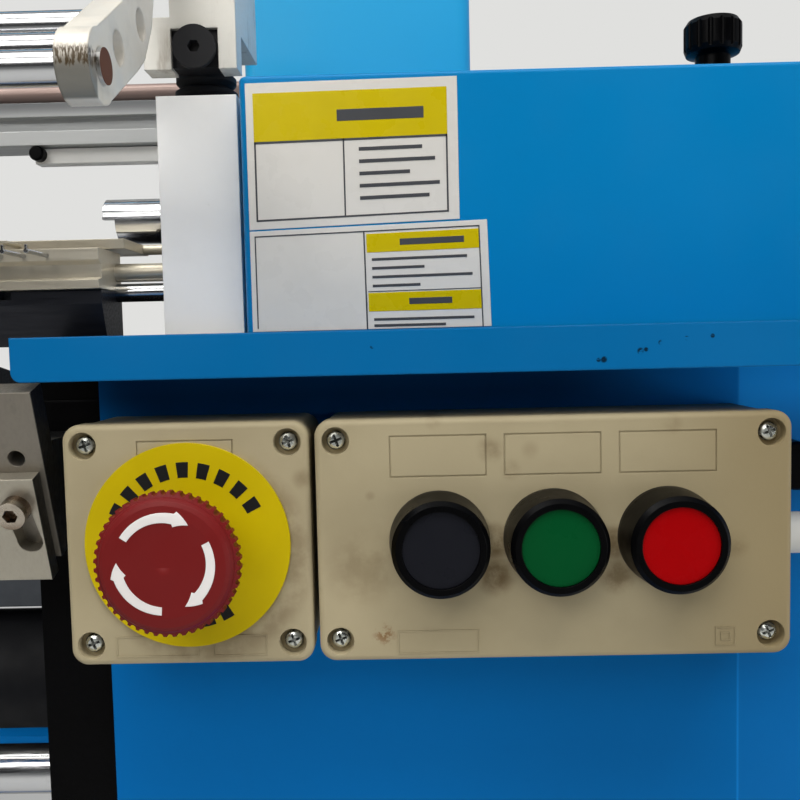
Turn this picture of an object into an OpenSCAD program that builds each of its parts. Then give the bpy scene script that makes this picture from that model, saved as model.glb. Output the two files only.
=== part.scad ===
// Crochet warp knitting machine for narrow fabrics, right-hand drive.
// X runs along the machine, the operator stands at -Y, Z is up from the floor.
// The origin is on the floor, at the centre of the four anchor holes.

/* [Stand] */
// Clear width between the two inner end frames
work_w = 798; // [740:2:900]
// Thickness of each cast end frame
frame_t = 24; // [20:1:28]
// Width of the right drive cabinet
right_w = 407; // [400:1:440]
// Width of the left cabinet
left_w = 237; // [230:1:280]
// Depth of both cabinets
cabinet_d = 500; // [480:5:540]
// Reach of the cabinet fronts ahead of the anchor centre line
front_reach = 264; // [258:1:272]
// Height of the cabinet tops above the floor
deck_z = 959.5; // [930:0.5:990]
// Thickness of the deck plates on the end frames
deck_t = 18; // [14:1:22]
// Thickness of the cabinet sheets
sheet_t = 2.5; // [2:0.5:3]
// How far the outer part of the right front cover slants back
fold_back = 28; // [20:1:36]
// Distance of that fold from the inner edge of the cover
fold_at = 212.9; // [200:0.1:230]

/* [Feet] */
// Height of the foot rails
rail_h = 40; // [30:1:50]
// Width of the foot rails
rail_w = 100; // [80:1:120]
// Length of the foot rails, front to back
rail_l = 660; // [640:5:720]
// Thickness of the plinth plates on the rails
plinth_t = 20; // [16:1:24]
// Distance of each anchor hole from the rail end
anchor_inset = 40; // [30:1:45]
// Diameter of the anchor holes
anchor_d = 14; // [12:1:18]

/* [Heads] */
// Height of the head housings
head_h = 91; // [80:0.5:100]
// Depth of the head housings
head_d = 250; // [240:1:280]
// Setback of the head housings behind the cabinet fronts
head_back = 14; // [12:1:20]
// Rounding of the top edges of the head housings
head_r = 1.5; // [1:0.5:3]
// Width of the machined guide blocks
block_w = 28.6; // [26:0.1:32]
// Depth of the guide blocks
block_d = 125; // [110:1:130]
// Height of the guide blocks
block_h = 87.5; // [80:0.5:90]
// Gap from the inner end frame to the guide block
block_gap = 16.4; // [14:0.1:20]

/* [Shelf] */
// Reach of the shelf ahead of the cabinet front
shelf_reach = 39; // [30:1:45]
// Thickness of the shelf sheet
shelf_t = 2.8; // [2:0.1:3.5]
// Height of the folded lip
shelf_lip = 13; // [10:0.5:16]
// Overhang of the shelf past the inner edge of the cabinet
shelf_over = 11.6; // [8:0.1:14]

/* [Control stations] */
// Width of the emergency stop enclosure
stop_w = 73; // [70:0.5:75]
// Width of the push-button enclosure
station_w = 140; // [138:0.5:144]
// Depth of both enclosures, lid included
station_d = 36; // [34:0.5:44]
// Thickness of the lids
lid_t = 8; // [7:0.5:9]
// Wall of the enclosures
station_wall = 2.5; // [2:0.1:3]
// Corner radius of the enclosures
station_r = 5; // [4:0.5:8]
// Spacing of the lid screws, up and down
lid_pitch = 60; // [58:0.5:64]
// Distance of the lid screws from the enclosure edges
screw_in = 6.25; // [6:0.25:8]
// Distance of the emergency stop centre from the cabinet edge
stop_inset = 37.4; // [37:0.1:40]
// Distance between the two enclosure centres
station_step = 108.2; // [108:0.1:110]
// Depth of both enclosure centres below the deck
station_drop = 59.5; // [56:0.5:64]
// Spacing of the push-buttons
button_pitch = 33.6; // [32:0.1:36]
// Diameter of the button bezels
bezel_d = 28; // [27:0.1:29]
// Height of the button bezels
bezel_h = 14; // [12:0.5:15]
// Diameter of the button caps
cap_d = 22; // [20:0.1:22.4]
// Travel of the button caps
cap_travel = 3.5; // [2.5:0.5:4]
// Diameter of the mushroom head
mushroom_d = 40; // [38:0.5:44]
// Height of the mushroom rim above the lid
mushroom_h = 23; // [22:0.5:24]
// Travel of the mushroom head
stop_travel = 4.5; // [3:0.5:5]
// Diameter of the legend disc
legend_d = 61; // [54:0.5:62]

/* [Knitting parts] */
// Diameter of the lift rods
lift_d = 10; // [8:0.5:11]
// Diameter of the three guide rods
guide_d = 10; // [9:0.1:10.4]
// Thickness of the arms that hold the guide rods
arm_t = 9.4; // [8:0.1:10]
// Sideways travel of each weft bar, to either side
shog = 20; // [10:1:24]
// Spacing of the weft guide tubes
tube_pitch = 40; // [32:1:60]
// Spacing of the needles
needle_pitch = 8; // [7:0.5:12]
// Diameter of the needles
needle_d = 1.6; // [1.2:0.1:2]
// Travel of the needle bar, to either side
needle_travel = 6; // [4:0.5:6.5]
// Diameter of the rubber take-down roller
takedown_d = 56; // [52:0.5:58]
// Diameter of the polished pressure roller
pressure_d = 22; // [20:0.5:24]
// Length of the white arms behind the knitting parts
guard_l = 75; // [50:1:120]
// Width of the bed beam, front to back
bed_w = 100; // [90:1:110]
// Height of the bed beam
bed_h = 95; // [60:1:96]

/* [Drive] */
// Diameter of the main shaft
shaft_d = 30; // [25:1:34]
// Height of the main shaft above the floor
shaft_z = 640; // [560:5:680]
// Diameter of the driven pulley
pulley_d = 140; // [120:1:150]
// Diameter of the motor pulley
motor_pulley_d = 70; // [60:1:80]
// Width of the drive belt
belt_w = 24; // [18:1:26]
// Thickness of the drive belt
belt_t = 6; // [4:0.5:7]
// Diameter of the motor body
motor_d = 160; // [150:2:170]
// Length of the motor body
motor_l = 200; // [180:2:210]
// Diameter of the handwheel
wheel_d = 180; // [160:2:200]

/* [Yarn feed] */
// Width of each column
column_w = 113; // [104:1:118]
// Depth of each column
column_d = 90; // [80:1:96]
// Height of the columns above the head housings
column_h = 349.5; // [330:0.5:400]
// Height of the top beam
beam_h = 60; // [50:1:70]
// Diameter of the feed rollers
feed_d = 50; // [46:1:54]
// Teeth on each roller gear
gear_teeth = 20; // [18:2:24]
// Spacing of the yarn eyelets
eyelet_pitch = 20; // [16:1:30]

/* [Hidden] */
$fn = 64;

// Clearances: running fits, press seats and the air between moving neighbours
run_gap = 0.05;
seat_gap = 0.02;
air_gap = 0.3;

// Main planes of the machine
mid_x = -(right_w - left_w) / 4;
right_x = mid_x + work_w / 2;
left_x = mid_x - work_w / 2;
foot_x = work_w / 2 + frame_t + (right_w + left_w) / 4;
cabinet_rx = right_x + frame_t;
front_y = -front_reach;
back_y = front_y + cabinet_d;
plinth_z = rail_h + plinth_t;
frame_top = deck_z - deck_t;
anchor_y = rail_l / 2 - anchor_inset;

// Hollow ties between the inner end frames, and the pockets cast into those frames
tie_z = 140;
tie_w = 60;
tie_wall = 4;
bed_y = front_y + 84;
bed_wall = 12;
pocket_t = 8;
pocket_r = 30;

// Control stations
stop_x = cabinet_rx + stop_inset;
station_x = stop_x + station_step;
station_z = deck_z - station_drop;
face_y = front_y - station_d;
lid_back = face_y + lid_t;
station_h = lid_pitch + 2 * screw_in;
well_r = 4.1;
well_depth = 3.6;
barrel_r = 11;
barrel_end = 14;
legend_t = 1;
collar_h = 5.5;
plunger_r = 7;
label_up = 25;
label_w = 28.5;
label_h = 12.4;
label_line = 0.4;
gland_y = front_y - 15;
gland_z = station_z - 4.5;
gland_r = 6;

// Knitting zone, on the right-hand side; the left side mirrors it
block_x = right_x + frame_t + block_gap;
block_y = front_y + head_back + 10;
block_top = deck_z + block_h;
head_y = front_y + head_back;
head_top = deck_z + head_h;
lift_x = block_x + block_w / 2 - 2.7;
lift_y = block_y + 30;
boot_h = 16;
boot_r = 12.4;
housing_gap = 2.4;
lift_end = block_top + 50;
fork_y = lift_y - boot_r - 11.5;
fork_z = block_top + 25.3;
rear_rod_z = block_top + 24;
rear_rod_r = 3.6;
arm_x = block_x - 5;
bar_end = block_x - 21;
bar_l = bar_end - mid_x;
rod_points = [[-44.3, 77.1], [-28.6, 87.1], [-5.5, 101.8]];
journal_z = deck_z + 27;
journal_y = block_y + 14;
journal_r = 3.4;
warp_y = block_y + 32;
warp_z = deck_z + 37.3;
warp_r = 2;
stub_y = block_y + 50;
stub_z = deck_z + 50.8;
stub_r = 9.2;
lean = 18;
comb_x = cabinet_rx - 14;
comb_y = front_y - 29;
comb_z = deck_z - 44.5;
clamp_at = [-0.5, -2.2];
clamp_r = 2.6;
clamp_t = 5;
slot_end = [1.5, -13.3];

// Take-down
roll_y = front_y + 74;
roll_z = deck_z - 180.1;
roll_gap = 0.6;
roll_ahead = 20;
roll_reach = (takedown_d + pressure_d) / 2 + roll_gap;
nip_angle = acos(roll_ahead / roll_reach);
takedown_y = roll_y + roll_ahead;
takedown_z = roll_z + roll_reach * sin(nip_angle);
takedown_teeth = 46;
pressure_teeth = 18;
roll_journal = 6;
gear_w = 12;

// Drive, inside the right cabinet
shaft_y = -60;
pulley_x = cabinet_rx + right_w - 90;
motor_y = 20;
motor_z = plinth_z + 20 + motor_d / 2 + 8;
rotor_r = 12;
motor_gap = 24;
flange_t = 3;

// Yarn feed
column_x = block_x + 8;
column_y = block_y + 130;
feed_y = column_y + column_d / 2;
feed_z = head_top + 179.5;
feed_step = feed_d + roll_gap;
feed_journal = 8;

// Shapes used by several sub-parts

module left_side() {
    translate([2 * mid_x, 0, 0])
        mirror([1, 0, 0])
            children();
}

module both_sides() {
    children();
    left_side()
        children();
}

// A cylinder whose axis runs along X, from x to x + l
module bar_x(x, y, z, r, l) {
    translate([x, y, z])
        rotate([0, 90, 0])
            cylinder(r = r, h = l);
}

// A cylinder whose axis runs along Y, from y to y + l
module bar_y(x, y, z, r, l) {
    translate([x, y + l, z])
        rotate([90, 0, 0])
            cylinder(r = r, h = l);
}

// A profile drawn with Y as its first axis and Z as its second, pushed along X
module along_x(x, l) {
    translate([x, 0, 0])
        rotate([90, 0, 90])
            linear_extrude(height = l)
                children();
}

// A rectangle with round corners, centred
module round_rect(w, h, r) {
    square([w - 2 * r, h], center = true);
    square([w, h - 2 * r], center = true);
    for (sx = [-1, 1], sy = [-1, 1])
        translate([sx * (w / 2 - r), sy * (h / 2 - r)])
            circle(r = r);
}

// A plate with round corners and one rounded face edge; it grows along Z to the rounded face
module soft_plate(w, h, t, r, f) {
    linear_extrude(height = t - f)
        round_rect(w, h, r);
    linear_extrude(height = t)
        round_rect(w - 2 * f, h - 2 * f, r - f);
    for (sx = [-1, 1])
        intersection() {
            translate([sx * (w / 2 - f), 0, t - f])
                rotate([90, 0, 0])
                    cylinder(r = f, h = h - 2 * r, center = true);
            translate([-w / 2, -h / 2, 0])
                cube([w, h, t]);
        }
    for (sy = [-1, 1])
        intersection() {
            translate([0, sy * (h / 2 - f), t - f])
                rotate([0, 90, 0])
                    cylinder(r = f, h = w - 2 * r, center = true);
            translate([-w / 2, -h / 2, 0])
                cube([w, h, t]);
        }
    for (sx = [-1, 1], sy = [-1, 1])
        translate([sx * (w / 2 - r), sy * (h / 2 - r), 0])
            rotate_extrude()
                union() {
                    square([r - f, t]);
                    translate([r - f, t - f])
                        intersection() {
                            circle(r = f);
                            square([f, f]);
                        }
                }
}

// The same plate stood up against the cabinet, its rounded face towards the operator
module face_plate(x, y, z, w, h, t, r, f) {
    translate([x, y, z])
        rotate([90, 0, 0])
            soft_plate(w, h, t, r, f);
}

// The straight outline around two pulleys, a distance apart along the second axis
module belt_line(r1, r2, d) {
    a = acos((r1 - r2) / d);
    circle(r = r1);
    translate([0, -d])
        circle(r = r2);
    polygon([
        [r1 * sin(a), -r1 * cos(a)], [r2 * sin(a), -d - r2 * cos(a)],
        [-r2 * sin(a), -d - r2 * cos(a)], [-r1 * sin(a), -r1 * cos(a)]
    ]);
}

// A spur gear outline with straight-sided teeth and room at the root
module gear_outline(teeth, pitch_r) {
    tooth = 2 * pitch_r / teeth;
    step = 360 / teeth;
    tip_r = pitch_r + 0.85 * tooth;
    root_r = pitch_r - 1.15 * tooth;
    polygon([
        for (i = [0 : teeth - 1], c = [[-0.30, root_r], [-0.21, pitch_r], [-0.10, tip_r],
                                       [0.10, tip_r], [0.21, pitch_r], [0.30, root_r]])
            c[1] * [cos((i + c[0]) * step), sin((i + c[0]) * step)]
    ]);
}

// Stand

module base_pair() {
    plinth_y = front_y + sheet_t;
    difference() {
        for (s = [-1, 1]) {
            w = s > 0 ? right_w : left_w;
            x0 = s > 0 ? right_x : left_x - frame_t - w;
            translate([s * foot_x - rail_w / 2, -rail_l / 2, 0])
                cube([rail_w, rail_l, rail_h]);
            translate([x0, plinth_y, rail_h])
                cube([w + frame_t, cabinet_d - 2 * sheet_t, plinth_t]);
        }
        for (sx = [-1, 1], sy = [-1, 1])
            translate([sx * foot_x, sy * anchor_y, -1])
                cylinder(d = anchor_d, h = rail_h + plinth_t + 2);
    }
}

module bases() {
    color("royalblue")
        base_pair();
}

module frame_plate(x, y0) {
    translate([x, y0, plinth_z])
        cube([frame_t, back_y - sheet_t - y0, frame_top - plinth_z]);
}

module frame_bosses(x) {
    bar_x(x, shaft_y, shaft_z, shaft_d / 2 + 30, frame_t + 8);
}

// Cast pockets on the knitting side of the two inner end frames: middle, height, width and height
module frame_pockets(x) {
    for (p = [[95, 710, 170, 300], [-5, 395, 370, 290]])
        translate([x, p[0], p[1]])
            rotate([90, 0, 90])
                linear_extrude(height = pocket_t + 1)
                    round_rect(p[2], p[3], pocket_r);
}

module end_frames() {
    outer_r = cabinet_rx + right_w - sheet_t - frame_t;
    outer_l = left_x - frame_t - left_w + sheet_t;
    color([0.08, 0.08, 0.09])
        difference() {
            union() {
                frame_plate(right_x, front_y + sheet_t);
                frame_plate(left_x - frame_t, front_y + sheet_t);
                frame_plate(outer_r, front_y + fold_back + 2 * sheet_t);
                frame_plate(outer_l, front_y + fold_back + 2 * sheet_t);
                for (x = [right_x - 8, left_x - frame_t])
                    frame_bosses(x);
            }
            bar_x(left_x - frame_t - 1, shaft_y, shaft_z, shaft_d / 2 + 18,
                  outer_r - left_x + 2 * frame_t + 2);
            frame_pockets(right_x - 1);
            frame_pockets(left_x - pocket_t);
            for (p = [[roll_y, roll_z], [takedown_y, takedown_z]])
                bar_x(left_x - frame_t - 1, p[0], p[1], roll_journal + run_gap, work_w + 2 * frame_t + 2);
        }
}

module deck_plates() {
    y0 = front_y + sheet_t;
    color([0.1, 0.12, 0.15])
        difference() {
            for (s = [-1, 1]) {
                w = (s > 0 ? right_w : left_w) + frame_t;
                x0 = s > 0 ? right_x : left_x - w;
                fold = s > 0 ? fold_back : 0;
                translate([x0, y0 + fold, frame_top])
                    cube([w, back_y - y0 - fold, deck_t]);
                translate([x0, y0, frame_top])
                    cube([s > 0 ? frame_t + fold_at : w, fold + 1, deck_t]);
            }
            both_sides()
                translate([lift_x, lift_y, frame_top - 1])
                    cylinder(d = lift_d + 4, h = deck_t + 2);
        }
}

module front_covers() {
    x0 = cabinet_rx;
    x1 = cabinet_rx + fold_at;
    x2 = cabinet_rx + right_w;
    color([0.04, 0.45, 0.72])
        union() {
            translate([0, 0, plinth_z])
                linear_extrude(height = deck_z - plinth_z)
                    polygon([
                        [x0, front_y], [x1, front_y], [x2, front_y + fold_back],
                        [x2, front_y + fold_back + sheet_t], [x1, front_y + sheet_t],
                        [x0, front_y + sheet_t]
                    ]);
            translate([left_x - frame_t - left_w, front_y, plinth_z])
                cube([left_w, sheet_t, deck_z - plinth_z]);
        }
}

module vents(x, w) {
    for (i = [0 : 9])
        translate([x + w / 2 - 50, back_y - sheet_t - 1, 600 + i * 14])
            cube([100, sheet_t + 2, 5]);
}

module body_covers() {
    h = frame_top - plinth_z;
    side_y = front_y + fold_back + sheet_t;
    color([0.04, 0.45, 0.72])
        difference() {
            union() {
                translate([right_x, back_y - sheet_t, plinth_z])
                    cube([right_w + frame_t, sheet_t, h]);
                translate([left_x - frame_t - left_w, back_y - sheet_t, plinth_z])
                    cube([left_w + frame_t, sheet_t, h]);
                translate([cabinet_rx + right_w - sheet_t, side_y, plinth_z])
                    cube([sheet_t, back_y - sheet_t - side_y, h]);
                translate([left_x - frame_t - left_w, front_y + sheet_t, plinth_z])
                    cube([sheet_t, cabinet_d - 2 * sheet_t, h]);
            }
            vents(cabinet_rx, right_w);
            bar_x(cabinet_rx + right_w - sheet_t - 1, shaft_y, shaft_z, shaft_d / 2 + 4, sheet_t + 2);
        }
}

module tie_beam() {
    color([0.04, 0.45, 0.72])
        difference() {
            translate([left_x, -tie_w / 2, tie_z])
                cube([work_w, tie_w, tie_w]);
            translate([left_x - 1, tie_wall - tie_w / 2, tie_z + tie_wall])
                cube([work_w + 2, tie_w - 2 * tie_wall, tie_w - 2 * tie_wall]);
        }
}

// The bed is a channel, open downwards
module bed_beam() {
    color([0.35, 0.37, 0.4])
        along_x(left_x, work_w)
            difference() {
                translate([bed_y, frame_top - bed_h])
                    square([bed_w, bed_h]);
                translate([bed_y + bed_wall, frame_top - bed_h - 1])
                    square([bed_w - 2 * bed_wall, bed_h - bed_wall - 2]);
            }
}

module shelf_tray() {
    x0 = cabinet_rx - shelf_over;
    l = shelf_over + right_w;
    y0 = front_y - shelf_reach;
    depth = shelf_reach + head_back - 2;
    top = deck_z + shelf_t;
    color([0.04, 0.4, 0.66])
        union() {
            translate([x0, y0, deck_z])
                cube([l, depth, shelf_t]);
            difference() {
                translate([x0, y0, top - shelf_lip])
                    cube([l, shelf_t, shelf_lip]);
                translate([x0, y0 - 1, top - shelf_lip])
                    difference() {
                        cube([3, shelf_t + 2, 3]);
                        bar_y(3, 0, 3, 3, shelf_t + 2);
                    }
            }
        }
}

// Knitting heads

module guide_block() {
    difference() {
        translate([block_x, block_y, deck_z])
            cube([block_w, block_d, block_h]);
        translate([lift_x, lift_y, deck_z - 1])
            cylinder(r = lift_d / 2 + run_gap, h = block_h + 2);
        for (s = [-1, 1])
            bar_x(block_x - 1, journal_y + s * needle_travel, journal_z, journal_r + air_gap, 6.2);
        translate([block_x - 1, journal_y - needle_travel, journal_z - journal_r - air_gap])
            cube([6.2, 2 * needle_travel, 2 * (journal_r + air_gap)]);
        bar_x(block_x - 1, warp_y, warp_z, warp_r + run_gap, 5.2);
    }
}

module guide_blocks() {
    color([0.86, 0.86, 0.85])
        both_sides()
            guide_block();
}

module housing(x, w) {
    translate([x + w / 2, head_y + head_d / 2, deck_z])
        soft_plate(w, head_d, head_h, 2 * head_r + 0.5, head_r);
}

module head_housings() {
    x = block_x + block_w + housing_gap;
    right_l = cabinet_rx + right_w - x;
    left_l = left_w - block_gap - block_w - housing_gap;
    neck = filler_place();
    color([0.05, 0.5, 0.78])
        difference() {
            union() {
                housing(x, right_l);
                housing(left_x - frame_t - left_w, left_l);
            }
            translate([neck[0], neck[1], head_top - 20])
                cylinder(r = 8 + seat_gap, h = 21);
        }
}

// The filler stands on the right housing, behind its front edge
function filler_place() = [stop_x + 186.8, head_y + 45];

module filler_neck() {
    p = filler_place();
    color([0.06, 0.06, 0.06])
        translate([p[0], p[1], head_top])
            difference() {
                union() {
                    translate([0, 0, -18])
                        cylinder(r = 8, h = 18);
                    cylinder(r = 9, h = 3);
                    translate([0, 0, 3])
                        cylinder(r = 5, h = 10);
                }
                translate([0, 0, -19])
                    cylinder(r = 3.2, h = 40);
            }
}

module filler_cap() {
    p = filler_place();
    flutes = 16;
    color([0.04, 0.04, 0.04])
        translate([p[0], p[1], head_top + 4 + air_gap])
            difference() {
                rotate_extrude()
                    polygon([
                        [0, 10], [5 + run_gap, 10], [5 + run_gap, 0], [6.6, 0], [6.6, 11],
                        [10, 12], [10.8, 14], [10.8, 22.5], [9.4, 24.6], [0, 25.6]
                    ]);
                for (i = [0 : flutes - 1])
                    rotate([0, 0, i * 360 / flutes])
                        translate([11.3, 0, 13])
                            cylinder(r = 1.1, h = 15);
            }
}

module boot() {
    translate([lift_x, lift_y, block_top])
        rotate_extrude()
            polygon([
                [lift_d / 2 + air_gap, 0], [boot_r, 0], [boot_r, 3], [boot_r - 3, 4.5],
                [boot_r - 0.5, 7], [boot_r - 0.5, 8.5], [boot_r - 3, 10], [boot_r - 1, 12],
                [boot_r - 1, 14], [boot_r - 3, boot_h], [lift_d / 2 + air_gap, boot_h]
            ]);
}

module rod_boots() {
    color([0.05, 0.05, 0.05])
        both_sides()
            boot();
}

module lift_rods() {
    color([0.8, 0.8, 0.8])
        both_sides()
            translate([lift_x, lift_y, frame_top - 12])
                cylinder(d = lift_d, h = lift_end - frame_top + 12);
}

// Fork of the lift bracket: two front legs beside the roller, a body around the rod
module lift_bracket() {
    leg_z = block_top + 11;
    left_leg = block_x - 5.4;
    difference() {
        union() {
            translate([left_leg, fork_y, leg_z])
                cube([9.9, 10, fork_z - leg_z + 4]);
            translate([block_x + 21.5, fork_y, leg_z])
                cube([6.5, 10, fork_z - leg_z + 4]);
            translate([left_leg, fork_y, fork_z])
                cube([block_w + 4.8, 44, 4]);
            translate([arm_x + arm_t, fork_y, fork_z + 4])
                cube([block_w - arm_t + 4.4, 44, 48.7]);
        }
        translate([lift_x, lift_y, fork_z - 1])
            cylinder(r = lift_d / 2 + seat_gap, h = lift_end + seat_gap - fork_z + 1);
    }
}

module lift_brackets() {
    color([0.8, 0.79, 0.77])
        both_sides()
            lift_bracket();
}

// A cam roller on a block between the legs of the fork, with a hexagon socket in its pin
module lift_roller() {
    x = block_x + 13.2;
    z = block_top + 18.3;
    difference() {
        union() {
            translate([block_x + 4.5, fork_y + 2, block_top + 12])
                cube([17, 8, fork_z - block_top - 12]);
            bar_y(x, fork_y - 1, z, 6, 4);
            bar_y(x, fork_y - 2.5, z, 7.7, 2.2);
        }
        translate([x, fork_y - 3.5, z])
            rotate([-90, 0, 0])
                cylinder(r = 2.3, h = 4, $fn = 6);
    }
}

module lift_rollers() {
    color([0.07, 0.07, 0.07])
        both_sides()
            lift_roller();
}

// Arm that carries the three guide rods; it climbs back from its nose and bolts to the lift bracket
module bar_arm() {
    nose = rod_points[0];
    tail = lift_y + 14 - front_y;
    difference() {
        along_x(arm_x, arm_t)
            translate([front_y, deck_z]) {
                polygon([
                    [nose[0] - 8, nose[1] + 6.4], [-20.5, 104.3], [-1, 117], [-1, 165.5],
                    [tail, 165.5], [tail, 137.5], [11.5, 137.5], [11.5, 118], [7, 105],
                    [-2.5, 91.5], [-10.3, 86], [nose[0] + 5.5, nose[1] - 8.5]
                ]);
                translate(nose)
                    circle(r = 10.4);
            }
        for (p = rod_points)
            bar_x(arm_x - 1, front_y + p[0], deck_z + p[1], guide_d / 2 + seat_gap, arm_t + 2);
    }
}

module bar_arms() {
    color([0.84, 0.82, 0.78])
        both_sides()
            bar_arm();
}

// The lowest rod stands out of the arms, the other two end inside them
module guide_rods() {
    past = [1.4, -3, -3];
    color([0.85, 0.85, 0.85])
        for (i = [0 : 2]) {
            half = arm_x + arm_t + past[i] - mid_x;
            bar_x(mid_x - half, front_y + rod_points[i][0], deck_z + rod_points[i][1],
                  guide_d / 2, 2 * half);
        }
}

// One weft bar: a flat bar under its guide rod, four slide shoes and a row of guide tubes
module weft_bar(i) {
    y = front_y + rod_points[i][0];
    z = deck_z + rod_points[i][1];
    half = bar_l - shog - 24;
    tubes = floor((half - 20) / tube_pitch);
    color([0.75, 0.76, 0.78]) {
        difference() {
            union() {
                translate([mid_x - half, y - 2, z - 26])
                    cube([2 * half, 4, 19]);
                for (s = [-1, -0.33, 0.33, 1])
                    translate([mid_x + s * (half - 20) - 12, y - 7, z - 10])
                        cube([24, 14, 17.5]);
            }
            bar_x(mid_x - half - 1, y, z, guide_d / 2 + run_gap, 2 * half + 2);
        }
        for (k = [-tubes : tubes])
            translate([mid_x + k * tube_pitch, y, z - 38])
                difference() {
                    cylinder(r = 1.9, h = 12);
                    translate([0, 0, -1])
                        cylinder(r = 0.9, h = 11);
                }
    }
}

module weft_bar_front() {
    weft_bar(0);
}

module weft_bar_middle() {
    weft_bar(1);
}

module weft_bar_rear() {
    weft_bar(2);
}

// Stepped bar with a groove for the needle butts and a journal at each end

module needle_bar() {
    y = journal_y - 20;
    difference() {
        color([0.72, 0.7, 0.66])
            union() {
                along_x(2 * mid_x - bar_end, 2 * bar_l)
                    polygon([
                        [y, journal_z - 6.7], [y, journal_z - 3.5], [y + 3, journal_z - 2.8],
                        [y + 3, journal_z + 2], [y + 0.6, journal_z + 3.4],
                        [y + 0.6, journal_z + 7.6], [y + 24, journal_z + 7.6],
                        [y + 24, journal_z - 6.7]
                    ]);
                both_sides()
                    bar_x(bar_end - 1, journal_y, journal_z, journal_r, block_x + 5 - bar_end + 1);
            }
        for (k = needle_places())
            bar_y(k, y - 1, journal_z + 5.2, needle_d / 2 + seat_gap, 16);
    }
}

function needle_places() = [
    for (k = [-floor((bar_l - 12) / needle_pitch) : floor((bar_l - 12) / needle_pitch)])
        mid_x + k * needle_pitch
];

// Needles with a hook at the tip, standing out of the bar towards the operator
module needles() {
    y = journal_y - 20;
    color([0.85, 0.85, 0.83])
        for (x = needle_places()) {
            bar_y(x, y - 16, journal_z + 5.2, needle_d / 2, 30);
            translate([x - needle_d / 4, y - 16, journal_z + 5.2])
                cube([needle_d / 2, 1.2, 2.2]);
        }
}

// Warp guide bar: a thin plate that rocks on its journals, with guide fingers in front
module warp_bar() {
    z = warp_z - 1.8;
    y = journal_y - 6;
    fingers = floor((bar_l - 12) / (3 * needle_pitch));
    color([0.78, 0.77, 0.74]) {
        translate([2 * mid_x - bar_end - 5, y, z])
            cube([2 * bar_l + 10, warp_y + 6 - y, 3.6]);
        both_sides()
            bar_x(bar_end - 3, warp_y, warp_z, warp_r, block_x + 7 - bar_end);
        for (k = [-fingers : fingers])
            translate([mid_x + k * 3 * needle_pitch - 1.5, y - 12, z + 1.4])
                cube([3, 13, 1]);
    }
}

// Knock-over bar under the needles, on four cast arms from the bed, its front edge notched
module knockover_bar() {
    z = journal_z - 7;
    y = journal_y - 18;
    low = deck_z + air_gap;
    arms = [-1, -0.33, 0.33, 1];
    color([0.5, 0.49, 0.47])
        difference() {
            union() {
                along_x(2 * mid_x - bar_end, 2 * bar_l)
                    polygon([
                        [y, z - 5], [y, z], [y + 22, z], [y + 22, low], [y + 5, low]
                    ]);
                for (s = arms)
                    along_x(mid_x + s * (work_w / 2 - 60) - 12, 24)
                        polygon([
                            [y + 8, low + 0.1], [y + 22, low + 0.1], [bed_y + 30, frame_top + 4],
                            [bed_y + 30, frame_top], [bed_y, frame_top]
                        ]);
            }
            for (k = [-24 : 24])
                translate([mid_x + k * 2 * needle_pitch - 2, y - 1, z - 3])
                    cube([4, 4, 4]);
        }
}

module bar_shafts() {
    color([0.8, 0.79, 0.77])
        both_sides() {
            difference() {
                bar_x(bar_end - 14, stub_y, stub_z, stub_r, block_x - bar_end + 14);
                bar_x(bar_end - 15, stub_y, stub_z, stub_r - 3, 6);
                translate([bar_end - 15, stub_y - stub_r - 1, stub_z - stub_r - 1])
                    cube([6, 2 * stub_r + 2, stub_r + 1]);
            }
            bar_x(bar_end, journal_y, journal_z - 2 * journal_r - 2 * air_gap, journal_r,
                  block_x - bar_end);
        }
}

// Slotted beam across the guide blocks, with a thin rod on two feet above it
module rear_guide_beam() {
    l = block_x + block_w - mid_x;
    color([0.62, 0.62, 0.62])
        union() {
            along_x(mid_x - l, 2 * l)
                difference() {
                    translate([block_y + 70, block_top])
                        square([20, 18]);
                    translate([block_y + 69, block_top + 6])
                        square([5, 6]);
                }
            both_sides()
                translate([block_x + 8, block_y + 76, block_top + 17])
                    cube([10, 8, rear_rod_z - block_top - 17]);
            bar_x(2 * mid_x - block_x - 18, block_y + 80, rear_rod_z, rear_rod_r,
                  2 * (block_x + 18 - mid_x));
        }
}

// Short white arms on the guide blocks, behind the knitting parts
module yarn_guard_bar() {
    color([0.92, 0.92, 0.92])
        both_sides()
            translate([block_x - guard_l, block_y + 75, block_top - 7])
                cube([guard_l, 7, 6.5]);
}

module front_tie_plate() {
    color([0.04, 0.4, 0.66])
        translate([left_x, roll_y - 32, roll_z + 24.9])
            cube([work_w, 8, 2.7]);
}

// Take-down rollers with a gear on their left journals, outside the inner end frame
module nip_roller(y, z, r, teeth, phase) {
    gear_x = left_x - frame_t - 18;
    bar_x(left_x + 2, y, z, r, work_w - 4);
    bar_x(gear_x, y, z, roll_journal, right_x + frame_t - gear_x);
    translate([gear_x, y, z])
        rotate([90, 0, 90])
            linear_extrude(height = gear_w)
                rotate(phase)
                    gear_outline(teeth, roll_reach * teeth / (takedown_teeth + pressure_teeth));
}

module takedown_roller() {
    color([0.08, 0.08, 0.1])
        nip_roller(takedown_y, takedown_z, takedown_d / 2, takedown_teeth, nip_angle + 180);
}

module pressure_roller() {
    color([0.82, 0.82, 0.82])
        nip_roller(roll_y, roll_z, pressure_d / 2, pressure_teeth, nip_angle + 180 / pressure_teeth);
}

// Leaning bracket on the front of each inner end frame, with a slotted clamp block

module leaning() {
    translate([comb_x, comb_y, comb_z])
        rotate([lean, 0, 0])
            children();
}

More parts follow.
